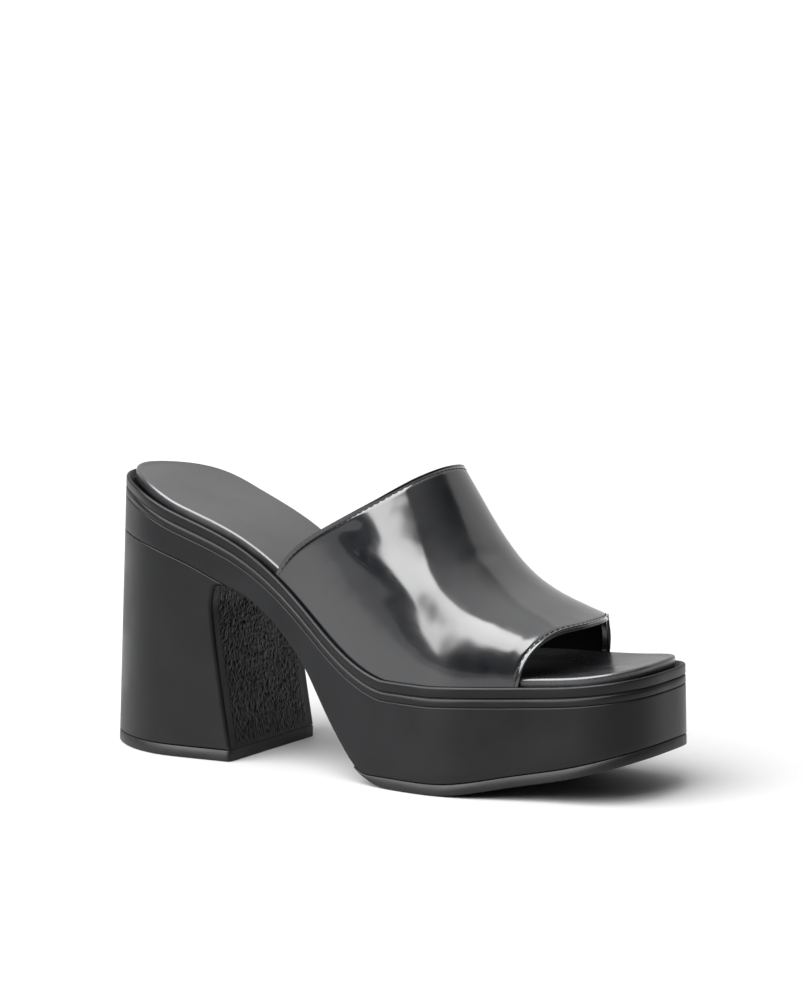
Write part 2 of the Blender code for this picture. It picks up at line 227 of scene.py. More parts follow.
Edge = namedtuple("Edge", "around throat opening")
EDGES = (
    Edge(0.0, 0.000, 0.00),
    Edge(0.1, 0.120, 0.04),
    Edge(0.2, 0.420, 0.15),
    Edge(0.3, 0.750, 0.40),
    Edge(0.4, 0.945, 0.70),
    Edge(0.5, 1.000, 1.00),
    Edge(0.6, 0.945, 0.62),
    Edge(0.7, 0.750, 0.22),
    Edge(0.8, 0.420, 0.10),
    Edge(0.9, 0.120, 0.03),
    Edge(1.0, 0.000, 0.00),
)

# Soft hollows of the vamp, and full folds where the depth is negative: middle, reach down the
# vamp's slope, width across it, slope in degrees, depth
Hollow = namedtuple("Hollow", "along across up reach width slope depth")
HOLLOWS = (
    Hollow(0.1643, -0.006, 0.0865, 0.0034, 0.0130, 40, 0.00035),
    Hollow(0.1570, -0.0345, 0.0760, 0.0260, 0.0075, 26, -0.0008),
    Hollow(0.1870, -0.0287, 0.0615, 0.0160, 0.0065, 20, -0.0006),
    Hollow(0.1250, -0.0330, 0.0950, 0.0130, 0.0060, 27, 0.0005),
)


def curve_through(rows, key, column):
    """A smooth curve (natural cubic) through one column of a table, read by the key column."""
    x = np.array([getattr(row, key) for row in rows])
    y = np.array([getattr(row, column) for row in rows])
    count = len(x)
    step = np.diff(x)
    slope = np.diff(y) / step
    system = np.eye(count)
    right = np.zeros(count)
    for i in range(1, count - 1):
        system[i, i - 1 : i + 2] = step[i - 1], 2 * (step[i - 1] + step[i]), step[i]
        right[i] = 6 * (slope[i] - slope[i - 1])
    bend = np.linalg.solve(system, right)

    def read(at):
        at = np.asarray(at, float)
        i = np.clip(np.searchsorted(x, at) - 1, 0, count - 2)
        before = at - x[i]
        after = x[i + 1] - at
        held = (bend[i] * after**3 + bend[i + 1] * before**3) / (6 * step[i])
        start = (y[i] / step[i] - bend[i] * step[i] / 6) * after
        end = (y[i + 1] / step[i] - bend[i + 1] * step[i] / 6) * before
        return held + start + end

    return read


half_share = curve_through(OUTLINE, "along", "half")
middle_share = curve_through(OUTLINE, "along", "middle")
rim_heel = curve_through(RIM, "along", "heel")
rim_toe = curve_through(RIM, "along", "toe")
under_depth = curve_through(UNDER, "along", "depth")
under_reach = curve_through(UNDER, "along", "reach")
tread_lift = curve_through(TREAD, "along", "lift")
breast_run = curve_through(BREAST, "up", "run")
band_ridge = curve_through(BAND, "along", "ridge")
band_square = curve_through(BAND, "along", "square")
edge_throat = curve_through(EDGES, "around", "throat")
edge_opening = curve_through(EDGES, "around", "opening")


def end_factor(into_round, squareness):
    """Share of the width that is left, 0 to 1 of the way into a rounded end."""
    return (1 - np.clip(into_round, 0, 1) ** squareness) ** (1 / squareness)


def rim_sides(x):
    """The rim's outer (-Y) and inner (+Y) edges at places x along the shoe."""
    share = x / LENGTH
    half = half_share(share) * BALL_WIDTH
    half = half * end_factor((HEEL_ROUND - x) / HEEL_ROUND, HEEL_SQUARENESS)
    half = half * end_factor((x - LENGTH + TOE_ROUND) / TOE_ROUND, TOE_SQUARENESS)
    middle = middle_share(share) * BALL_WIDTH
    return middle - half, middle + half


def rim_height(x):
    """Top of the rim above the floor."""
    share = x / LENGTH
    heel = np.clip(rim_heel(share), 0, None) * (SEAT_HEIGHT - PLATFORM_HEIGHT)
    return PLATFORM_HEIGHT + heel + np.clip(rim_toe(share), 0, None) * TOE_SPRING


def seat_height(x):
    """Ledge inside the rim that the footbed lies in."""
    return rim_height(x) - SEAT_RECESS


def tread_spring(x):
    """Lift of the tread above the floor towards the toe."""
    return np.clip(tread_lift(x / LENGTH), 0, None) * TOE_SPRING


def tread_bottom(x):
    """Lower face of the tread sheet, with its back end curving up into the arch."""
    rise = underside(TREAD_START) - CLEARANCE - TREAD_LIP
    left = np.clip(1 - (x - TREAD_START) / TREAD_CURVE, 0, 1)
    return tread_spring(x) + rise * left**TREAD_BEND


def underside(x):
    """Lower face of the sole unit: seat seam, arch, then the top of the tread sheet."""
    held = rim_height(x) - SHANK_DEPTH * under_depth(x / LENGTH)
    floor = tread_spring(x) + OUTSOLE + CLEARANCE
    return held + np.clip(under_reach(x / LENGTH), 0, 1) * (floor - held)


def wall_outset(x, height):
    """How far the side wall stands outside the rim at a height."""
    return SHOULDER + WALL_FLARE * np.clip(1 - height / rim_height(x), 0, 1)


def stations(start, end, steps, round_start, round_end):
    """Places along the shoe from start to end, closer together towards a round end."""
    share = np.linspace(0, 1, steps + 1)
    if round_start and round_end:
        share = (1 - np.cos(np.pi * share)) / 2
    elif round_start:
        share = 1 - np.cos(np.pi / 2 * share)
    elif round_end:
        share = np.sin(np.pi / 2 * share)
    return start + share * (end - start)


def both_ways(values):
    """One value for each station, repeated for the way out and the way back."""
    return np.concatenate([values, values[::-1]])


def plan(x, outset):
    """The outline at places x, moved square to itself by outset: near side out, far side back."""
    near, far = rim_sides(x)
    points = np.column_stack([both_ways(x), np.concatenate([near, far[::-1]])])
    ahead = np.clip(x + NUDGE, 0, LENGTH)
    behind = np.clip(x - NUDGE, 0, LENGTH)
    near_run = rim_sides(ahead)[0] - rim_sides(behind)[0]
    far_run = rim_sides(ahead)[1] - rim_sides(behind)[1]
    along = ahead - behind
    normal_near = np.column_stack([near_run, -along])
    normal_far = np.column_stack([-far_run, along])
    for normal in (normal_near, normal_far):
        if x[0] <= 0:
            normal[0] = (-1, 0)
        if x[-1] >= LENGTH:
            normal[-1] = (1, 0)
    normal = np.concatenate([normal_near, normal_far[::-1]])
    normal /= np.linalg.norm(normal, axis=1)[:, None]
    return points + normal * both_ways(np.broadcast_to(outset, x.shape))[:, None]


def ring(x, outset, height):
    """A closed ring of points: the outline moved by outset, at the height given for each station."""
    flat = plan(x, outset)
    z = both_ways(height)
    down = np.clip(1 - z / SEAT_HEIGHT, 0, 1)
    back = np.clip(1 - both_ways(x) / HEEL_LENGTH, 0, 1)
    return np.column_stack([flat[:, 0] - HEEL_LEAN * down * back, flat[:, 1], z])


def spine_of(along, start, end):
    """The point of the middle line that each point of a ring closes towards, in plan."""
    along = np.clip(along, start, end)
    return np.column_stack([along, middle_share(along / LENGTH) * BALL_WIDTH])


def towards(points, spine, share, height_at):
    """A ring part of the way in from points to the spine, lying on a height that depends on x."""
    flat = points[:, :2] + (spine - points[:, :2]) * share
    return np.column_stack([flat, height_at(np.clip(flat[:, 0], 0, LENGTH))])


def sheet_form(points, values=None, value_name="value"):
    """A bmesh grid whose vertices are moved onto rows of points, doubles joined."""
    rows, columns = points.shape[:2]
    form = bmesh.new()
    bmesh.ops.create_grid(form, x_segments=columns - 1, y_segments=rows - 1, size=0.5)
    layer = form.verts.layers.float.new(value_name) if values is not None else None
    flat_values = values.ravel() if values is not None else None
    for i, (vertex, point) in enumerate(zip(form.verts, points.reshape(-1, 3))):
        vertex.co = point
        if layer is not None:
            vertex[layer] = flat_values[i]
    bmesh.ops.remove_doubles(form, verts=form.verts, dist=SAME_POINT)
    bmesh.ops.dissolve_degenerate(form, edges=form.edges, dist=SAME_POINT)
    return form


def finish_piece(name, form, material, replaced=None):
    """Turns faces outwards and makes a smooth object that rides on the shoe."""
    open_edges = [edge for edge in form.edges if edge.is_boundary]
    if open_edges:
        bmesh.ops.holes_fill(form, edges=open_edges, sides=0)
    bmesh.ops.recalc_face_normals(form, faces=form.faces)
    mesh = bpy.data.meshes.new(name)
    form.to_mesh(mesh)
    form.free()
    mesh.shade_smooth()
    mesh.materials.append(material)
    piece = bpy.data.objects.new(name, mesh)
    bpy.context.scene.collection.objects.link(piece)
    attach(piece, "root")
    if replaced:
        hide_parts(replaced)
    return piece


def groove_rings(x, rim, groove, steps=6):
    """Rings down the side wall through one rounded groove, and how deep in it each one lies."""
    rings, depths = [], []
    for share in np.linspace(-1, 1, steps + 1):
        height = rim - groove.drop - share * groove.half_width
        depths.append(float(np.cos(share * np.pi / 2) ** 2))
        rings.append(ring(x, wall_outset(x, height) - groove.depth * depths[-1], height))
    return rings, depths


def corner_rings(x, height, up, radius, steps=3):
    """Rings round a softened corner of the side wall, towards or away from height."""
    rings = []
    for angle in np.linspace(0, np.pi / 2, steps + 1):
        out = -radius * (1 - np.cos(angle))
        level = height + up * radius * (1 - np.sin(angle))
        rings.append(ring(x, wall_outset(x, level) + out, level))
    return rings


def make_sole_unit(material):
    """Sole unit from seat to toe: ledge, rim roll, grooved band, wall and underside."""
    x = stations(0, LENGTH, SOLE_STATIONS, True, True)
    rim = rim_height(x)
    under = underside(x)
    spine = spine_of(both_ways(x), HEEL_ROUND, LENGTH - TOE_ROUND)
    rings = [ring(x, -CLEARANCE, rim - SEAT_RECESS), ring(x, -CLEARANCE, rim - CLEARANCE)]
    ledge = [towards(rings[0], spine, s, seat_height) for s in (1, 0.5)]
    for angle in np.linspace(0, np.pi / 2, 9):
        out = SHOULDER - RIM_CORNER * (1 - np.sin(angle))
        rings.append(ring(x, out, rim - RIM_CORNER * (1 - np.cos(angle))))
    sunk = [0.0] * (len(ledge) + len(rings))
    for groove in GROOVES:
        walls, depths = groove_rings(x, rim, groove)
        rings += walls
        sunk += depths
    below_grooves = rim - GROOVES[1].drop - 2 * GROOVES[1].half_width
    for share in np.linspace(0, 1, 9)[:-1]:
        height = below_grooves + (under + 2 * SEAM_ROUND - below_grooves) * share
        rings.append(ring(x, wall_outset(x, height), height))
    rings += corner_rings(x, under, 1, SEAM_ROUND)
    lower = [towards(rings[-1], spine, s, underside) for s in (0.08, 0.3, 0.6, 1)]
    grid = np.array(ledge + rings + lower)
    relief = np.zeros(grid.shape[:2])
    # The grooves' depth goes into the relief attribute, from which the finish paints shade into them
    relief[: len(sunk)] = -np.array(sunk)[:, None]
    form = sheet_form(grid, relief, "relief")
    return finish_piece("sole_unit", form, material, "platform")


def heel_ring(front, inset, height_at, columns):
    """Outline of the heel from its rounded back to a flat breast with two rounded edges."""
    turn = np.linspace(0, np.pi / 2, HEEL_TURNS + 1)
    side = stations(0, front - BREAST_EDGE, HEEL_STATIONS, True, False)
    x = np.concatenate([side, front - BREAST_EDGE * (1 - np.sin(turn[1:]))])
    pull = np.concatenate([np.zeros(len(side)), BREAST_EDGE * (1 - np.cos(turn[1:]))])
    height = height_at(x)
    points = ring(x, wall_outset(x, height) - inset, height)
    points[: len(x), 1] += pull
    points[len(x) :, 1] -= pull[::-1]
    near, far = points[len(x) - 1], points[len(x)]
    across = near + np.linspace(0, 1, columns + 1)[1:-1, None] * (far - near)
    return np.concatenate([points[: len(x)], across, points[len(x) :]])


def heel_spine(front, columns):
    """Points of the middle line that the heel's outline closes towards."""
    side = stations(0, front - BREAST_EDGE, HEEL_STATIONS, True, False)
    side = np.concatenate([side, np.full(HEEL_TURNS, front)])
    along = np.concatenate([side, np.full(columns - 1, front), side[::-1]])
    return spine_of(along, HEEL_ROUND, HEEL_LENGTH - 2 * RELIEF_MARGIN)


def wrinkle(kind, y, z):
    """Noise of one kind of wrinkle at a place of the breast."""
    return noise.noise(Vector((y * kind.across, z * kind.up, kind.offset)))


def bark(y, z):
    """Wrinkled bark: short upright ridges that wander and split, from -1 to 1."""
    wander = wrinkle(BARK_STRAY, y, z) * BARK_WANDER
    lean = z * BARK_LEAN + wander
    ridges = 1 - 2.8 * abs(wrinkle(BARK_RIDGES, y + lean, z))
    crossing = 1 - 2.8 * abs(wrinkle(BARK_CROSSING, y - lean, z))
    fine = wrinkle(BARK_FINE, y + wander, z)
    return float(np.clip(0.75 * max(ridges, crossing * 0.8) + 0.4 * fine - 0.3, -1, 1))


def level(height):
    """The same height at every place."""
    return lambda x: np.full(len(x), height)


def make_heel(material):
    """Block heel, its breast dense enough for the relief."""
    foot = HEEL_TIP + CLEARANCE

    def heel_top(x):
        return underside(x) - CLEARANCE

    def part_way(share, lift):
        return lambda x: foot + share * (heel_top(x) - foot) + lift

    levels = [(0.0, 0.0, SEAM_ROUND), (0.0, SEAM_ROUND, 0.0)]
    levels += [(share, 0.0, 0.0) for share in np.linspace(0, 1, BREAST_ROWS + 1)[1:-1]]
    levels += [(1.0, -SEAM_ROUND, 0.0), (1.0, 0.0, SEAM_ROUND)]
    rings = []
    for share, lift, inset in levels:
        front = float(breast_run(share)) * HEEL_LENGTH
        rings.append(heel_ring(front, inset, part_way(share, lift), BREAST_COLUMNS))
    grid = np.array(rings)
    relief = np.zeros(grid.shape[:2])
    first = HEEL_STATIONS + HEEL_TURNS + 1
    last = first + BREAST_COLUMNS - 1
    run = np.gradient(grid, axis=0)
    normal = np.stack([run[..., 2], np.zeros(relief.shape), -run[..., 0]], axis=-1)
    normal /= np.linalg.norm(normal, axis=-1)[..., None] + SAME_POINT
    for i in range(CAP_ROWS, len(rings) - CAP_ROWS):
        near, far = grid[i, first, 1], grid[i, last, 1]
        to_end = min(i - CAP_ROWS, len(rings) - CAP_ROWS - 1 - i)
        for j in range(first, last + 1):
            y, z = grid[i, j, 1], grid[i, j, 2]
            inside = min(y - near, far - y) + BREAST_EDGE - RELIEF_MARGIN
            mask = np.clip(inside / RELIEF_FADE, 0, 1) * np.clip(to_end / RELIEF_FADE_ROWS, 0, 1)
            relief[i, j] = mask * bark(y, z) if mask > 0 else 0
    grid = grid + normal * (relief * RELIEF_DEPTH)[..., None]
    bottom = towards(grid[0], heel_spine(HEEL_LENGTH, BREAST_COLUMNS), 1, level(foot))
    top = towards(grid[-1], heel_spine(front, BREAST_COLUMNS), 1, heel_top)
    grid = np.concatenate([bottom[None], grid, top[None]])
    relief = np.pad(relief, ((1, 1), (0, 0)))
    # The relief also goes to the finish, which paints shade into its hollows
    form = sheet_form(grid, relief, "relief")
    return finish_piece("heel", form, material, "heel_block")


def make_heel_tip(material):
    """Top piece of the heel, flat on the floor."""
    turn = np.linspace(np.pi / 2, 0, 5)
    levels = [(FOOT_ROUND * (1 - np.sin(angle)), FOOT_ROUND * (1 - np.cos(angle))) for angle in turn]
    levels += [(HEEL_TIP - SEAM_ROUND, 0), (HEEL_TIP, SEAM_ROUND)]
    rings = [heel_ring(HEEL_LENGTH, inset, level(z), HEEL_TIP_COLUMNS) for z, inset in levels]
    spine = heel_spine(HEEL_LENGTH, HEEL_TIP_COLUMNS)
    bottom = towards(rings[0], spine, 1, level(0.0))
    top = towards(rings[-1], spine, 1, level(HEEL_TIP))
    form = sheet_form(np.array([bottom] + rings + [top]))
    return finish_piece("heel_top_piece", form, material, "heel_tip")


def make_tread(material):
    """Tread sheet under the forefoot, tapering at its back edge and rising with the toe spring."""
    x = stations(TREAD_START, LENGTH, SOLE_STATIONS, False, True)
    top = underside(x) - CLEARANCE
    bottom = tread_bottom(x)
    corner = np.minimum(FOOT_ROUND, (top - bottom) / 2)
    rings = []
    for angle in np.linspace(0, np.pi / 2, 5):
        level = bottom + corner * (1 - np.sin(angle))
        rings.append(ring(x, wall_outset(x, level) - corner * (1 - np.cos(angle)), level))
    seam = [ring(x, wall_outset(x, top) - SEAM_ROUND, top)]
    seam.append(ring(x, wall_outset(x, top - SEAM_ROUND), top - SEAM_ROUND))
    rings = seam + rings
    spine = spine_of(both_ways(x), TREAD_START, LENGTH - TOE_ROUND)
    upper_face = [towards(rings[0], spine, s, lambda at: underside(at) - CLEARANCE) for s in (1, 0.5)]
    lower_face = [towards(rings[-1], spine, s, tread_bottom) for s in (0.1, 0.5, 1)]
    form = sheet_form(np.array(upper_face + rings + lower_face))
    return finish_piece("tread_sheet", form, material, "outsole")


def make_insole(material):
    """Leather-covered footbed: upright side, wrapped edge and a slightly hollow top."""
    x = stations(0, LENGTH, SOLE_STATIONS, True, True)
    rim = rim_height(x)
    top = rim + INSOLE_RISE
    side = -(2 * CLEARANCE + BAND_WALL + CLEARANCE)
    floor = rim - SEAT_RECESS + CLEARANCE
    rings = [ring(x, side, floor), ring(x, side, rim), ring(x, side, top - INSOLE_EDGE)]
    for angle in np.linspace(0, np.pi / 2, 8)[1:]:
        inset = side - INSOLE_EDGE * (1 - np.cos(angle))
        rings.append(ring(x, inset, top - INSOLE_EDGE * (1 - np.sin(angle))))
    spine = spine_of(both_ways(x), HEEL_ROUND, LENGTH - TOE_ROUND)
    width = half_share(spine[:, 0] / LENGTH) * 2
    lower = towards(rings[0], spine, 1, lambda at: rim_height(at) - SEAT_RECESS + CLEARANCE)
    face = []
    for share in np.linspace(0, 1, 25)[1:]:
        inner = towards(rings[-1], spine, share, lambda at: rim_height(at) + INSOLE_RISE)
        inner[:, 2] -= INSOLE_DISH * (1 - (1 - share) ** 2) * width
        face.append(inner)
    form = sheet_form(np.array([lower] + rings + face))
    return finish_piece("footbed", form, material, "insole")


def band_point(x, theta):
    """Outer face of the band over station x, theta from 0 at the outer base to pi at the inner."""
    near, far = rim_sides(x)
    middle = (near + far) / 2
    half = (far - near) / 2 - 2 * CLEARANCE
    base = rim_height(x) - SEAT_RECESS + CLEARANCE
    ridge = PLATFORM_HEIGHT + OPENING_HEIGHT
    ridge = ridge + band_ridge(x / LENGTH) * (BAND_HEIGHT - OPENING_HEIGHT)
    power = 2 / band_square(x / LENGTH)
    across = -np.sign(np.cos(theta)) * np.abs(np.cos(theta)) ** power
    up = np.clip(np.sin(theta), 0, 1) ** power
    return np.stack([x, middle + half * across, base + (ridge - base) * up], axis=-1)


def band_normal(x, theta):
    """Outward unit normal of the band."""
    run = band_point(x + NUDGE, theta) - band_point(x - NUDGE, theta)
    ahead = band_point(x, np.clip(theta + NUDGE, 0, np.pi))
    behind = band_point(x, np.clip(theta - NUDGE, 0, np.pi))
    outward = np.cross(run, ahead - behind)
    return outward / np.linalg.norm(outward, axis=-1)[..., None]


def unit(vectors):
    """The vectors at length 1."""
    return vectors / np.linalg.norm(vectors, axis=-1)[..., None]


class BandFrame:
    """The band's columns, with its two edge lines and how far a step along the shoe leads from them."""

    def __init__(self):
        around = np.linspace(0, 1, BAND_COLUMNS + 1)
        self.theta = np.pi * (1 - np.cos(np.pi * around)) / 2
        self.throat = THROAT_BASE + (THROAT_TOP - THROAT_BASE) * edge_throat(around)
        self.opening = OPENING_BASE + (OPENING_TOP - OPENING_BASE) * edge_opening(around)
        self.throat_pace = self.pace(self.throat)
        self.opening_pace = self.pace(self.opening)

    def pace(self, line):
        """Distance square to an edge line, in the leather, for each metre along the shoe."""
        points = band_point(line, self.theta)
        tangent = unit(np.gradient(points, axis=0))
        step = band_point(line + NUDGE, self.theta) - band_point(line - NUDGE, self.theta)
        step /= 2 * NUDGE
        return np.linalg.norm(step - (step * tangent).sum(-1)[:, None] * tangent, axis=-1)

    def from_throat(self, distance):
        return self.throat + distance / self.throat_pace

    def from_opening(self, distance):
        return self.opening - distance / self.opening_pace

    def row(self, x, depth):
        """Points of one row, at a depth below the outer face."""
        return band_point(x, self.theta) - band_normal(x, self.theta) * np.reshape(depth, (-1, 1))

    def outer_rise(self, x):
        """How far the outer face stands out at x: folded edges, stitch channels and swell."""
        rise = np.array([swell(point) for point in self.row(x, 0)])
        for distance in ((x - self.throat) * self.throat_pace, (self.opening - x) * self.opening_pace):
            rise *= np.clip(distance / (3 * STITCH_LINE), 0, 1)
            rise += BEAD_RISE * np.clip(1 - (distance / (STITCH_LINE * 0.9)) ** 2, 0, 1)
            rise -= CHANNEL_DEPTH * np.exp(-(((distance - STITCH_LINE) / CHANNEL_WIDTH) ** 2))
        return rise * np.clip(np.sin(self.theta) * 8, 0, 1)


def edge_roll(band, line_at, sign, depth, radius):
    """Rows round a folded edge, from the outer face to the inner one."""
    x = line_at(radius)
    middle = band.row(x, depth + radius)
    normal = band_normal(x, band.theta)
    tangent = unit(np.gradient(middle, axis=0))
    outwards = unit(np.cross(normal, tangent)) * sign
    rows = []
    for angle in np.linspace(0, np.pi, 10)[1:-1]:
        rows.append(middle + radius * (np.cos(angle) * normal + np.sin(angle) * outwards))
    return rows


def swell(point):
    """How far the pulled leather stands out at a point: long and short waves, and the hollows."""
    x, y, z = point
    rise = 0
    for row in SWELLS:
        at = Vector((x * row.along, y * row.across, z * row.across + row.offset))
        rise += row.height * noise.noise(at)
    for hollow in HOLLOWS:
        off = np.array([x - hollow.along, y - hollow.across, z - hollow.up])
        slope = np.radians(hollow.slope)
        down = off[0] * np.cos(slope) - off[2] * np.sin(slope)
        aside = off @ off - down * down
        rise -= hollow.depth * np.exp(-((down / hollow.reach) ** 2) - aside / hollow.width**2)
    return rise


def band_shell(band, start, depth, thickness, proud, row_count):
    """Closed shell between two depths below the band's outer face, with rounded cut edges."""
    radius = thickness / 2
    close = start + radius + np.array(EDGE_STEPS_MM) / 1000
    between = np.linspace(0, 1, row_count)[1:-1]
    places = [band.from_throat(d) for d in close]
    first, last = places[-1], band.from_opening(close[-1])
    places += [first + (last - first) * s for s in between]
    places += [band.from_opening(d) for d in close[::-1]]
    outer = [band.row(x, depth - (band.outer_rise(x) if proud else 0)) for x in places]
    inner = [band.row(x, depth + thickness) for x in places[::-3] + places[:1]]
    opening_roll = edge_roll(band, lambda d: band.from_opening(start + d), 1, depth, radius)
    throat_roll = edge_roll(band, lambda d: band.from_throat(start + d), -1, depth, radius)
    rows = outer + opening_roll + inner + throat_roll[::-1] + outer[:1]
    return np.array(rows)


def make_vamp(band, material):
    """Outer leather of the band, folded at both edges."""
    form = sheet_form(band_shell(band, 0, 0, BAND_WALL, True, BAND_ROWS))
    return finish_piece("vamp", form, material, "upper")


def make_lining(band, material):
    """Lining inside the band, ending short of its edges."""
    depth = BAND_WALL - LINING_THICKNESS / 2
    form = sheet_form(band_shell(band, LINING_START, depth, LINING_THICKNESS, False, LINING_ROWS))
    return finish_piece("lining", form, material)


def make_stitches(name, band, line_at, material):
    """A row of thread stitches along one sewn edge."""
    x = line_at(STITCH_LINE)
    line = band.row(x, CHANNEL_DEPTH - THREAD_RADIUS * 0.6)
    normal = band_normal(x, band.theta)
    length = np.concatenate([[0], np.cumsum(np.linalg.norm(np.diff(line, axis=0), axis=1))])
    middles = np.arange(STITCH_PITCH, length[-1] - STITCH_PITCH, STITCH_PITCH)

    def read(rows, place):
        return Vector([float(np.interp(place, length, rows[:, k])) for k in range(3)])

    form = bmesh.new()
    for middle in middles:
        at = read(line, middle)
        up = read(normal, middle).normalized()
        ahead = read(line, middle + STITCH_PITCH / 4)
        along = (ahead - at).normalized()
        side = up.cross(along).normalized()
        turn = Matrix((along, side, along.cross(side))).transposed().to_4x4()
        size = Matrix.Diagonal((STITCH_LENGTH / 2, THREAD_RADIUS, THREAD_RADIUS, 1))
        made = bmesh.ops.create_icosphere(form, subdivisions=2, radius=1)["verts"]
        bmesh.ops.transform(form, matrix=Matrix.Translation(at) @ turn @ size, verts=made)
    return finish_piece(name, form, material)


def fill(tree, node, inputs):
    """Fills a node's inputs, named or numbered, with values or with links."""
    for key, value in inputs.items():
        if isinstance(value, bpy.types.NodeSocket):
            tree.links.new(value, node.inputs[key])
        else:
            node.inputs[key].default_value = value


def add_node(tree, kind, inputs=None, **settings):
    """Adds a node, sets its own settings, then fills its inputs."""
    node = tree.nodes.new(kind)
    for name, value in settings.items():
        setattr(node, name, value)
    fill(tree, node, inputs or {})
    return node


def add_math(tree, operation, *values):
    return add_node(tree, "ShaderNodeMath", dict(enumerate(values)), operation=operation).outputs[0]


def add_dot(tree, first, second):
    node = add_node(tree, "ShaderNodeVectorMath", {0: first, 1: second}, operation="DOT_PRODUCT")
    return node.outputs["Value"]


def add_range(tree, value, low, high, to_low=0.0, to_high=1.0):
    """A value carried smoothly from one range to another."""
    inputs = {"Value": value, "From Min": low, "From Max": high, "To Min": to_low, "To Max": to_high}
    return add_node(tree, "ShaderNodeMapRange", inputs, interpolation_type="SMOOTHSTEP").outputs["Result"]


def add_blend(tree, share, first, second):
    """A colour between two others."""
    return add_node(tree, "ShaderNodeMix", {0: share, 6: first, 7: second}, data_type="RGBA").outputs[2]


def new_group(name, inputs, output):
    """A node group with named inputs and one value out; gives the group and its inputs."""
    group = bpy.data.node_groups.new(name, "ShaderNodeTree")
    for label, kind in inputs:
        group.interface.new_socket(name=label, in_out="INPUT", socket_type=kind)
    group.interface.new_socket(name=output, in_out="OUTPUT", socket_type="NodeSocketFloat")
    return group, add_node(group, "NodeGroupInput").outputs


def end_group(group, value):
    add_node(group, "NodeGroupOutput", {0: value})
    return group


PLACE_AND_SCALE = (("Place", "NodeSocketVector"), ("Scale", "NodeSocketFloat"))


def make_mottle_group():
    """Soft uneven patches, as handling and polish leave on a surface."""
    group, given = new_group("soft_mottle", PLACE_AND_SCALE, "Mask")
    cloud = {"Vector": given["Place"], "Scale": given["Scale"], "Detail": 4.0, "Roughness": 0.55}
    patches = add_node(group, "ShaderNodeTexNoise", cloud)
    return end_group(group, add_range(group, patches.outputs["Fac"], 0.32, 0.68))


def make_grain_group():
    """Fine pores and skin of leather or moulded rubber, as a height from 0 to 1."""
    group, given = new_group("skin_grain", PLACE_AND_SCALE, "Height")
    pores = {"Vector": given["Place"], "Scale": given["Scale"]}
    cells = add_node(group, "ShaderNodeTexVoronoi", pores, feature="SMOOTH_F1")
    wide = add_math(group, "MULTIPLY", given["Scale"], 0.37)
    cloud = {"Vector": given["Place"], "Scale": wide, "Detail": 3.0, "Roughness": 0.6}
    folds = add_node(group, "ShaderNodeTexNoise", cloud)
    raised = add_math(group, "MULTIPLY_ADD", cells.outputs["Distance"], -0.5, 0.5)
    return end_group(group, add_math(group, "MULTIPLY_ADD", folds.outputs["Fac"], 0.6, raised))


def make_crease_group():
    """Hair-fine creases along the X of the places it is given, as a mask from 0 to 1."""
    group, given = new_group("hair_creases", PLACE_AND_SCALE, "Mask")
    drawn = {0: given["Place"], 1: (0.14, 1.0, 1.0)}
    drawn = add_node(group, "ShaderNodeVectorMath", drawn, operation="MULTIPLY").outputs[0]
    cloud = {"Vector": drawn, "Scale": given["Scale"], "Detail": 3.0, "Distortion": 0.35}
    waves = add_node(group, "ShaderNodeTexNoise", cloud)
    off = add_math(group, "ABSOLUTE", add_math(group, "SUBTRACT", waves.outputs["Fac"], 0.5))
    return end_group(group, add_range(group, off, 0.0, 0.035, 1.0, 0.0))


def make_softbox_group():
    """Light from a flat soft panel far away, by the direction it is looked for in."""
    vectors = [(label, "NodeSocketVector") for label in ("Direction", "Centre", "Across", "Up")]
    values = [(label, "NodeSocketFloat") for label in ("Half Width", "Half Height", "Edge", "Level")]
    group, given = new_group("softbox", vectors + values, "Light")
    facing = add_dot(group, given["Direction"], given["Centre"])
    ahead = add_math(group, "MAXIMUM", facing, 0.001)
    light = add_math(group, "MULTIPLY", given["Level"], add_math(group, "GREATER_THAN", facing, 0.0))
    for axis, half in (("Across", "Half Width"), ("Up", "Half Height")):
        off = add_math(group, "ABSOLUTE", add_dot(group, given["Direction"], given[axis]))
        past = add_math(group, "SUBTRACT", add_math(group, "DIVIDE", off, ahead), given[half])
        outside = add_math(group, "DIVIDE", past, given["Edge"])
        light = add_math(group, "MULTIPLY", light, add_range(group, outside, -1.0, 1.0, 1.0, 0.0))
    return end_group(group, light)


# Finishes: tones and roughness between which each is mottled, patches and grain to the metre; with relief
# set, painted shade darkens the hollows of the relief
Finish = namedtuple(
    "Finish", "name dark light smooth rough patches grain depth creases relief specular coat coat_roughness"
)
FINISHES = (
    Finish("polished_leather", (0.0012, 0.0015, 0.0024), (0.0026, 0.0030, 0.0042),
           0.15, 0.25, 42, 2600, 0.000012, 0.9, 0, 0.45, 0.90, 0.08),
    Finish("lining_leather", (0.0006, 0.0006, 0.0007), (0.0012, 0.0011, 0.0011),
           0.62, 0.80, 90, 1800, 0.000050, 0.0, 0, 0.06, 0.0, 0.10),
    Finish("insole_leather", (0.0130, 0.0132, 0.0145), (0.0190, 0.0193, 0.0210),
           0.26, 0.34, 60, 2200, 0.000016, 0.3, 0, 0.85, 0.10, 0.20),
    Finish("moulded_sole", (0.0018, 0.0019, 0.0024), (0.0032, 0.0033, 0.0040),
           0.34, 0.42, 38, 3000, 0.000016, 0.0, 1, 0.25, 0.0, 0.10),
    Finish("tread_rubber", (0.0020, 0.0021, 0.0025), (0.0040, 0.0041, 0.0046),
           0.40, 0.50, 70, 2400, 0.000030, 0.0, 0, 0.32, 0.0, 0.10),
    Finish("waxed_thread", (0.0030, 0.0031, 0.0036), (0.0070, 0.0072, 0.0080),
           0.34, 0.48, 900, 5200, 0.000040, 0.0, 0, 0.45, 0.0, 0.10),
)
CREASE_SCALE = 330
CREASE_TURN = np.radians(-27.5)  # creases follow the slope of the band's ridge
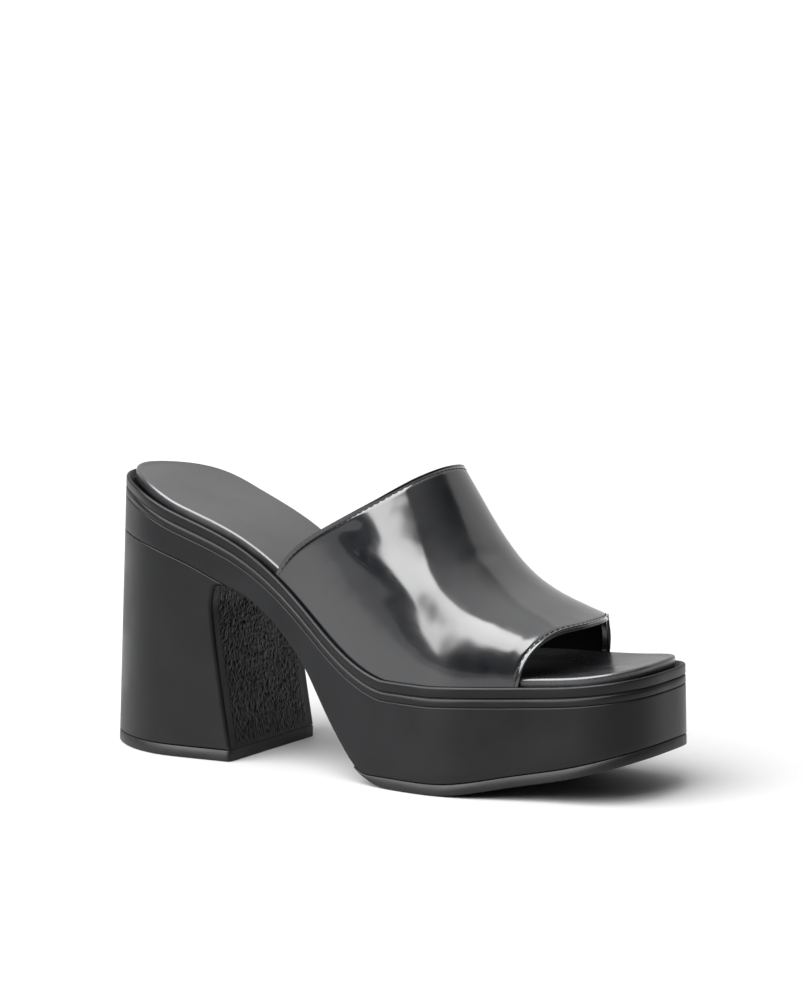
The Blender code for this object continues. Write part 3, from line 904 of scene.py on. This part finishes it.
# Painted shade: the tone that the hollows of a relief and the sole's grooves are darkened towards
PAINTED_SHADE_TONE = (0.0012, 0.0012, 0.0013, 1)


def make_finish(finish, groups):
    """A material from its row: mottled tone and roughness, fine grain, any creases, and painted shade with
    extra roughness in the hollows of any relief.
    """
    material = bpy.data.materials.new(finish.name)
    material.use_nodes = True
    tree = material.node_tree
    place = add_node(tree, "ShaderNodeTexCoord").outputs["Object"]

    def placed(group, at, scale):
        inputs = {"Place": at, "Scale": scale}
        return add_node(tree, "ShaderNodeGroup", inputs, node_tree=groups[group]).outputs[0]

    patches = placed("mottle", place, finish.patches)
    height = placed("grain", place, finish.grain)
    tone = add_blend(tree, patches, (*finish.dark, 1), (*finish.light, 1))
    roughness = add_range(tree, patches, 0.0, 1.0, finish.smooth, finish.rough)
    if finish.creases:
        turned = add_node(tree, "ShaderNodeMapping", {"Vector": place, "Rotation": (0, CREASE_TURN, 0)})
        creases = placed("creases", turned.outputs[0], CREASE_SCALE)
        worn = add_math(tree, "MULTIPLY", creases, placed("mottle", place, finish.patches * 1.7))
        height = add_math(tree, "MULTIPLY_ADD", worn, -finish.creases, height)
    # Painted shade: the deeper the hollow of the relief, the darker and rougher the surface
    if finish.relief:
        relief = add_node(tree, "ShaderNodeAttribute", attribute_name="relief").outputs["Fac"]
        hollow_painted_shade = add_range(tree, relief, -0.05, -0.7)
        tone = add_blend(tree, hollow_painted_shade, tone, PAINTED_SHADE_TONE)
        roughness = add_math(tree, "MULTIPLY_ADD", hollow_painted_shade, 0.25, roughness)
    bump = add_node(tree, "ShaderNodeBump", {"Height": height, "Distance": finish.depth})
    look = {"Base Color": tone, "Roughness": roughness, "Normal": bump.outputs["Normal"]}
    look |= {"Specular IOR Level": finish.specular}
    look |= {"Coat Weight": finish.coat, "Coat Roughness": finish.coat_roughness}
    fill(tree, tree.nodes["Principled BSDF"], look)
    return material


def place_on_solids(pieces):
    """Moves the meshes together, so that the sole unit lies over its solid."""
    points = np.array([vertex.co for vertex in pieces[0].data.vertices])
    low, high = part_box("platform")
    shift = (Vector(low) + Vector(high)) / 2 - Vector((points.min(axis=0) + points.max(axis=0)) / 2)
    shift.z = 0
    for piece in pieces:
        piece.data.transform(Matrix.Translation(shift))
        piece.data.update()


# Camera, found from the photograph's view of the shoe
VIEW_TARGET = Vector((0.0068, -0.0003, 0.1049))
VIEW_DISTANCE = 1.5
VIEW_AZIMUTH = 31.26  # degrees
VIEW_ELEVATION = 7.93
SENSOR = 36
LENS = 138.89


def towards_view(azimuth, elevation):
    """Unit direction: azimuth 0 is the outer side of the foot, 90 the toe."""
    azimuth, elevation = np.radians(azimuth), np.radians(elevation)
    level = np.cos(elevation)
    return Vector((np.sin(azimuth) * level, -np.cos(azimuth) * level, np.sin(elevation)))


def make_camera():
    """Camera at the photograph's angle."""
    back = towards_view(VIEW_AZIMUTH, VIEW_ELEVATION)
    data = bpy.data.cameras.new("camera")
    data.sensor_width = SENSOR
    data.lens = LENS
    data.clip_end = 100
    camera = bpy.data.objects.new("camera", data)
    camera.location = VIEW_TARGET + VIEW_DISTANCE * back
    camera.rotation_mode = "QUATERNION"
    camera.rotation_quaternion = back.to_track_quat("Z", "Y")
    bpy.context.scene.collection.objects.link(camera)
    bpy.context.scene.camera = camera


FLOOR_RADIUS = 60
FLOOR_PAINTED_SHADE_SPAN = (0.50, 0.95)  # how far in front of the shoe the floor's tone falls off, as painted shade from none to full
FLOOR_PAINTED_SHADE_TOWARDS = -10  # azimuth of that side
FLOOR_TONES = ((0.345, 0.345, 0.345, 1), (0.355, 0.355, 0.355, 1))
# Painted shade: the dark tone the floor takes in front of the shoe, so that the vamp reflects a dark zone
FLOOR_PAINTED_SHADE_TONE = (0.06, 0.06, 0.06, 1)
FLOOR_DROP = 0.00005  # keeps the floor clear of the faces that stand on it

# Sky of the studio, by the upward part of the direction, and the soft panels in it
Sky = namedtuple("Sky", "up level")
SKY = (
    Sky(0.00, 0.12),
    Sky(0.45, 0.09),
    Sky(0.56, 0.25),
    Sky(0.66, 0.46),
    Sky(0.77, 0.92),
    Sky(0.87, 1.35),
    Sky(1.00, 1.70),
)
Softbox = namedtuple("Softbox", "azimuth elevation roll width height edge level")
SOFTBOXES = (
    Softbox(-25, 50.6, -58, 0.727, 0.64, 0.07, 9.0),
    Softbox(207, 15, 0, 1.43, 0.70, 0.12, 0.55),
)


def make_studio(softbox_group):
    """Soft light from all round: a bright ceiling, darker sides and soft panels."""
    world = bpy.data.worlds.new("studio")
    world.use_nodes = True
    tree = world.node_tree
    direction = add_node(tree, "ShaderNodeTexCoord").outputs["Generated"]
    up = add_node(tree, "ShaderNodeSeparateXYZ", {0: direction}).outputs["Z"]
    ramp = add_node(tree, "ShaderNodeValToRGB", {"Fac": up})
    top = SKY[-1].level
    for i, row in enumerate(SKY):
        stop = ramp.color_ramp.elements[i] if i < 2 else ramp.color_ramp.elements.new(row.up)
        stop.position = row.up
        stop.color = (*[row.level / top] * 3, 1)
    light = add_math(tree, "MULTIPLY", ramp.outputs["Color"], top)
    for row in SOFTBOXES:
        centre = towards_view(row.azimuth, row.elevation)
        level = Vector((0, 0, 1)).cross(centre).normalized()
        turn = Matrix.Rotation(np.radians(-row.roll), 3, centre)
        across = turn @ level
        inputs = {"Direction": direction, "Centre": centre, "Across": across, "Up": centre.cross(across)}
        inputs |= {"Half Width": row.width, "Half Height": row.height, "Edge": row.edge, "Level": row.level}
        panel = add_node(tree, "ShaderNodeGroup", inputs, node_tree=softbox_group).outputs[0]
        light = add_math(tree, "ADD", light, panel)
    fill(tree, tree.nodes["Background"], {"Color": (1, 1, 1, 1), "Strength": light})
    bpy.context.scene.world = world
    bpy.context.scene.view_settings.view_transform = "Standard"


def make_floor(groups):
    """Pale floor with painted shade well in front of the shoe, where its tone falls off so that the vamp
    reflects a dark zone.
    """
    material = bpy.data.materials.new("studio_floor")
    material.use_nodes = True
    tree = material.node_tree
    place = add_node(tree, "ShaderNodeTexCoord").outputs["Object"]
    inputs = {"Place": place, "Scale": 3}
    patches = add_node(tree, "ShaderNodeGroup", inputs, node_tree=groups["mottle"]).outputs[0]
    tone = add_blend(tree, patches, *FLOOR_TONES)
    # Painted shade: the floor turns darker well in front of the shoe
    nearer = add_dot(tree, place, towards_view(FLOOR_PAINTED_SHADE_TOWARDS, 0))
    tone = add_blend(tree, add_range(tree, nearer, *FLOOR_PAINTED_SHADE_SPAN), tone, FLOOR_PAINTED_SHADE_TONE)
    roughness = add_range(tree, patches, 0.0, 1.0, 0.55, 0.6)
    look = {"Base Color": tone, "Roughness": roughness, "Specular IOR Level": 0.3}
    fill(tree, tree.nodes["Principled BSDF"], look)
    mesh = bpy.data.meshes.new("floor")
    form = bmesh.new()
    bmesh.ops.create_circle(form, cap_ends=True, radius=FLOOR_RADIUS, segments=64)
    bmesh.ops.translate(form, verts=form.verts, vec=(0, 0, -FLOOR_DROP))
    form.to_mesh(mesh)
    form.free()
    mesh.materials.append(material)
    floor = bpy.data.objects.new("floor", mesh)
    bpy.context.scene.collection.objects.link(floor)


groups = {"mottle": make_mottle_group(), "grain": make_grain_group(), "creases": make_crease_group()}
finishes = {finish.name: make_finish(finish, groups) for finish in FINISHES}
make_camera()
make_floor(groups)
make_studio(make_softbox_group())
band = BandFrame()
pieces = [
    make_sole_unit(finishes["moulded_sole"]),
    make_heel(finishes["moulded_sole"]),
    make_heel_tip(finishes["tread_rubber"]),
    make_tread(finishes["tread_rubber"]),
    make_insole(finishes["insole_leather"]),
    make_vamp(band, finishes["polished_leather"]),
    make_lining(band, finishes["lining_leather"]),
    make_stitches("throat_stitches", band, band.from_throat, finishes["waxed_thread"]),
    make_stitches("opening_stitches", band, band.from_opening, finishes["waxed_thread"]),
]
place_on_solids(pieces)
